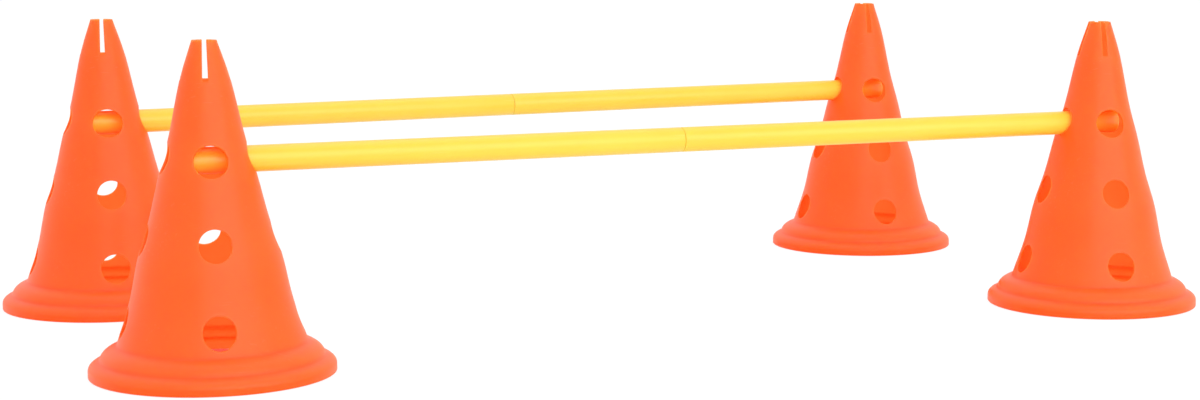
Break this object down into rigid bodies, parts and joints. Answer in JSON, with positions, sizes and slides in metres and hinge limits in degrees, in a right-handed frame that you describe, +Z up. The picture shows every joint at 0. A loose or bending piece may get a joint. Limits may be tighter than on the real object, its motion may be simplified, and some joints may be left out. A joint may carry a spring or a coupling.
{
  "type": "agility hurdle",
  "caption": "Low agility hurdles for dogs: hollow slotted cones with round holes at several heights carry round bars that pull apart in the middle.",
  "frame": {"origin": "on the floor, in the middle of the whole set", "axes": "+X along the hurdles, +Y from the front hurdle to the back one, +Z up"},
  "size_m": [1.2314, 0.8166, 0.3],
  "materials": {
    "cone_plastic": "satin moulded",
    "bar_plastic": "smooth satin",
    "coupling_plastic": "matte"
  },
  "bodies": {
    "front_left_stand": {"front_left_cone": "cone_plastic"},
    "front_bar_left": {"front_left_tube": "bar_plastic", "front_coupling": "coupling_plastic"},
    "front_bar_right": {"front_right_tube": "bar_plastic"},
    "front_right_stand": {"front_right_cone": "cone_plastic"},
    "back_left_stand": {"back_left_cone": "cone_plastic"},
    "back_bar_left": {"back_left_tube": "bar_plastic", "back_coupling": "coupling_plastic"},
    "back_bar_right": {"back_right_tube": "bar_plastic"},
    "back_right_stand": {"back_right_cone": "cone_plastic"}
  },
  "joints": [
    {"name": "front_bar_slide", "type": "slide", "parent": "front_left_stand", "child": "front_bar_left", "axis": [0.9895, 0.1444, 0], "range_m": [-0.004, 0.075]},
    {"name": "front_bar_pull_apart", "type": "slide", "parent": "front_bar_left", "child": "front_bar_right", "axis": [0.9895, 0.1444, 0], "range_m": [0, 0.05]},
    {"name": "front_right_stand_slide", "type": "slide", "parent": "front_bar_right", "child": "front_right_stand", "axis": [0.9895, 0.1444, 0], "range_m": [-0.003, 0.07]},
    {"name": "hurdle_spacing", "type": "slide", "parent": "front_left_stand", "child": "back_left_stand", "axis": [0, 1, 0], "range_m": [-0.15, 0.5]},
    {"name": "back_bar_slide", "type": "slide", "parent": "back_left_stand", "child": "back_bar_left", "axis": [0.9728, 0.2317, 0], "range_m": [-0.004, 0.075]},
    {"name": "back_bar_pull_apart", "type": "slide", "parent": "back_bar_left", "child": "back_bar_right", "axis": [0.9728, 0.2317, 0], "range_m": [0, 0.05]},
    {"name": "back_right_stand_slide", "type": "slide", "parent": "back_bar_right", "child": "back_right_stand", "axis": [0.9728, 0.2317, 0], "range_m": [-0.003, 0.07]}
  ]
}
